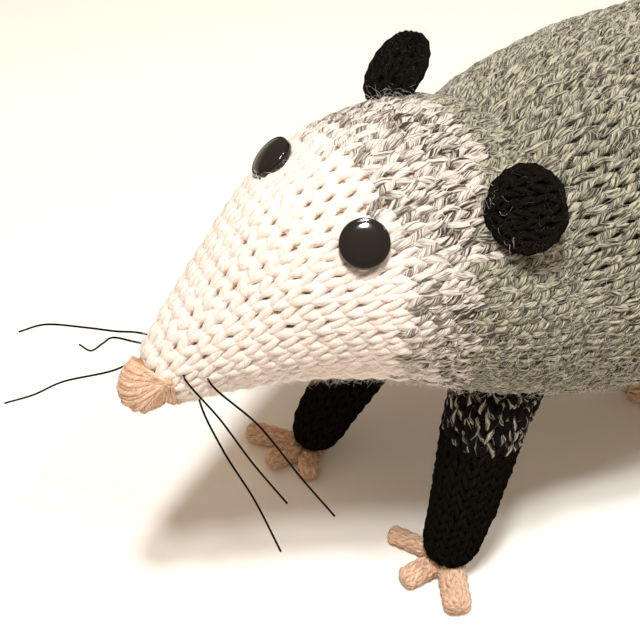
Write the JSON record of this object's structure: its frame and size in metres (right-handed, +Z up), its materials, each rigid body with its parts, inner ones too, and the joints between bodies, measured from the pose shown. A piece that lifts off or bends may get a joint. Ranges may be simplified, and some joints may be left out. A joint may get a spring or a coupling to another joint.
{
  "type": "knitted stuffed toy opossum",
  "caption": "Hand-knitted stuffed toy opossum, standing, with a long pale snout, button eyes, dark ears and legs, and a long bare-looking tail curled round a hind foot.",
  "frame": {"origin": "on the floor, under the middle of the toy's box", "axes": "+Z up; the toy faces -Y, and +X is its own left side"},
  "size_m": [0.137, 0.375, 0.1547],
  "materials": {
    "cream_yarn": "undyed off-white worsted wool, knitted in stocking stitch, slightly fuzzy, with grey strands towards the neck",
    "grey_yarn": "grey heather worsted wool, light and dark strands plied together, stocking stitch, slightly fuzzy",
    "black_yarn": "near-black worsted wool, dense stocking stitch, matt with a soft halo",
    "peach_yarn": "peach worsted wool, plied, matt",
    "button": "black domed shank button, polished",
    "whisker_thread": "single stiff black waxed thread"
  },
  "bodies": {
    "root": {"nose": "peach_yarn", "snout": "cream_yarn", "head": "cream_yarn", "shoulders": "grey_yarn", "middle": "grey_yarn", "rump": "grey_yarn", "ear_left": "black_yarn", "ear_right": "black_yarn", "eye_left": "button", "eye_right": "button", "leg_front_left": "black_yarn", "foot_front_left": "peach_yarn", "leg_front_right": "black_yarn", "foot_front_right": "peach_yarn", "leg_hind_left": "black_yarn", "foot_hind_left": "peach_yarn", "leg_hind_right": "black_yarn", "foot_hind_right": "peach_yarn", "tail_1": "peach_yarn", "tail_2": "peach_yarn", "tail_3": "peach_yarn", "tail_4": "peach_yarn", "tail_5": "peach_yarn", "whisker_left_1": "whisker_thread", "whisker_left_2": "whisker_thread", "whisker_left_3": "whisker_thread", "whisker_right_1": "whisker_thread", "whisker_right_2": "whisker_thread", "whisker_right_3": "whisker_thread"}
  },
  "joints": []
}
